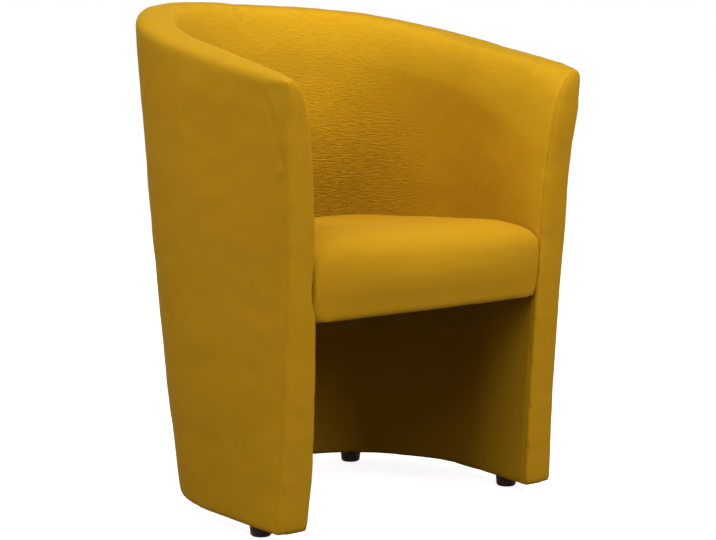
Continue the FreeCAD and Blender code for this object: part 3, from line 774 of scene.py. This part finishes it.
def under_cloth(name, cad_name, drop, turned_in):
    """A thin cloth in the shape of a CAD node, just below what it is stapled to, with its edge turned in."""
    body = bmesh.new()
    body.from_mesh(cad[cad_name].data)
    bmesh.ops.remove_doubles(body, verts=body.verts, dist=WELD)
    body.normal_update()
    for vert in body.verts:
        side = Vector((0, 0, 0))
        for face in vert.link_faces:
            if abs(face.normal.z) < 0.5:
                side += face.normal
        side.z = 0.0
        vert.co -= side.normalized() * turned_in + Vector((0, 0, drop))
    piece = new_piece(name, body)
    piece.data.materials.append(lining_cloth)
    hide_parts(cad_name)
    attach(piece, "root")


under_cloth("wall_under_cloth", "base_cloth", drop=0.0006, turned_in=0.006)
under_cloth(
    "seat_under_cloth", "seat_bottom_cloth", drop=0.0006, turned_in=0.012)


# Feet: short tapered feet of dark brown plastic, each held by a screw up through its middle.
# They stand close under the wall and show only as dark stubs.
foot_plastic, foot_shader = spotted(
    "foot_plastic", roughness=0.55, dark=(0.012, 0.004, 0.002), pale=(0.030, 0.011, 0.005),
    fineness=160.0, detail=5.0, start=0.35, end=0.7, depth=0.0002)
foot_shader.inputs["Specular IOR Level"].default_value = 0.10
dress(["foot_front_left", "foot_front_right", "foot_rear_left", "foot_rear_right"], foot_plastic)


# Floor: a plain white floor that runs out of sight into a white background.
# It looks white, but sends little light back, so that the chair's underside stays dark.
floor_body = bmesh.new()
bmesh.ops.create_grid(floor_body, x_segments=1, y_segments=1, size=15.0)
floor = new_piece("floor", floor_body)


def seen_directly(tree):
    """1 for what the camera, a mirror or clear glass sees, and 0 for the light that falls on the chair."""
    path = node(tree, "ShaderNodeLightPath")
    either = node(tree, "ShaderNodeMath", operation="MAXIMUM")
    any_of = node(tree, "ShaderNodeMath", operation="MAXIMUM")
    tree.links.new(path.outputs["Is Camera Ray"], either.inputs[0])
    tree.links.new(path.outputs["Is Glossy Ray"], either.inputs[1])
    tree.links.new(either.outputs[0], any_of.inputs[0])
    tree.links.new(path.outputs["Is Transmission Ray"], any_of.inputs[1])
    return any_of.outputs[0]


floor_white, floor_tree, floor_shader = new_material("floor_white", roughness=0.9)
floor_shader.inputs["Specular IOR Level"].default_value = 0.0
floor_shader.inputs["Base Color"].default_value = (0.12, 0.12, 0.12, 1)
white = node(floor_tree, "ShaderNodeEmission", Color=(1, 1, 1, 1), Strength=0.87)
pale = node(floor_tree, "ShaderNodeBsdfDiffuse", Color=(0.60, 0.60, 0.60, 1))
plain = node(floor_tree, "ShaderNodeAddShader")
chosen = node(floor_tree, "ShaderNodeMixShader")
floor_out = floor_tree.nodes["Material Output"]
floor_tree.links.new(white.outputs[0], plain.inputs[0])
floor_tree.links.new(pale.outputs[0], plain.inputs[1])
floor_tree.links.new(seen_directly(floor_tree), chosen.inputs["Fac"])
floor_tree.links.new(floor_shader.outputs[0], chosen.inputs[1])
floor_tree.links.new(plain.outputs[0], chosen.inputs[2])
floor_tree.links.new(chosen.outputs[0], floor_out.inputs["Surface"])
floor.data.materials.append(floor_white)


# Light: a white background that is dim as a light, and six square soft lights.
# The strongest is in front on the right; the others are above, at the left and behind.
world = bpy.data.worlds.new("studio")
scene.world = world
world.use_nodes = True
sky = world.node_tree
sky_light = sky.nodes["Background"]
sky_light.inputs["Color"].default_value = (1, 1, 1, 1)
sky_light.inputs["Strength"].default_value = 0.26
sky_white = node(sky, "ShaderNodeBackground", Color=(1, 1, 1, 1), Strength=1.0)
sky_mix = node(sky, "ShaderNodeMixShader")
sky.links.new(seen_directly(sky), sky_mix.inputs["Fac"])
sky.links.new(sky_light.outputs[0], sky_mix.inputs[1])
sky.links.new(sky_white.outputs[0], sky_mix.inputs[2])
sky.links.new(sky_mix.outputs[0], sky.nodes["World Output"].inputs["Surface"])


def softbox(name, place, aim, size, power):
    """A square soft light at a place, turned to what it lights."""
    lamp = bpy.data.lights.new(name, "AREA")
    lamp.size = size
    lamp.energy = power
    light = bpy.data.objects.new(name, lamp)
    light.location = place
    light.rotation_mode = "QUATERNION"
    light.rotation_quaternion = (Vector(aim) - Vector(place)).to_track_quat("-Z", "Y")
    scene.collection.objects.link(light)


softbox("light_above", (-1.2, -0.1, 2.5), aim=(0.0, 0.0, 0.5), size=1.4, power=36.0)
softbox("light_over_front", (-0.1, -1.0, 2.6), aim=(0.0, 0.0, 0.5), size=1.4, power=25.0)
softbox("light_left", (-2.9, -0.85, 0.85), aim=(0.0, -0.1, 0.35), size=0.7, power=17.0)
softbox("light_corner", (-1.6, -1.9, 2.5), aim=(0.0, 0.0, 0.4), size=1.2, power=15.0)
softbox("light_front", (1.2, -2.9, 1.9), aim=(0.0, 0.0, 0.4), size=1.2, power=60.0)
softbox("light_behind", (1.3, 2.7, 0.8), aim=(0.0, 0.0, 0.4), size=1.2, power=24.0)


# Camera: a long lens at the photograph's place, as high as the rim and to the left of straight ahead.
# It looks a little down on the seat.
lens = bpy.data.cameras.new("camera")
lens.sensor_width = 36.0
lens.lens = 98.07
camera = bpy.data.objects.new("camera", lens)
turn, lift = math.radians(-38.302), math.radians(7.818)
back = Vector((math.sin(turn) * math.cos(lift), -math.cos(turn) * math.cos(lift), math.sin(lift)))
camera.location = (-1.8501, -2.4304, 0.7719)
camera.rotation_mode = "QUATERNION"
camera.rotation_quaternion = (-back).to_track_quat("-Z", "Y")
scene.collection.objects.link(camera)
scene.camera = camera
scene.view_settings.view_transform = "Standard"
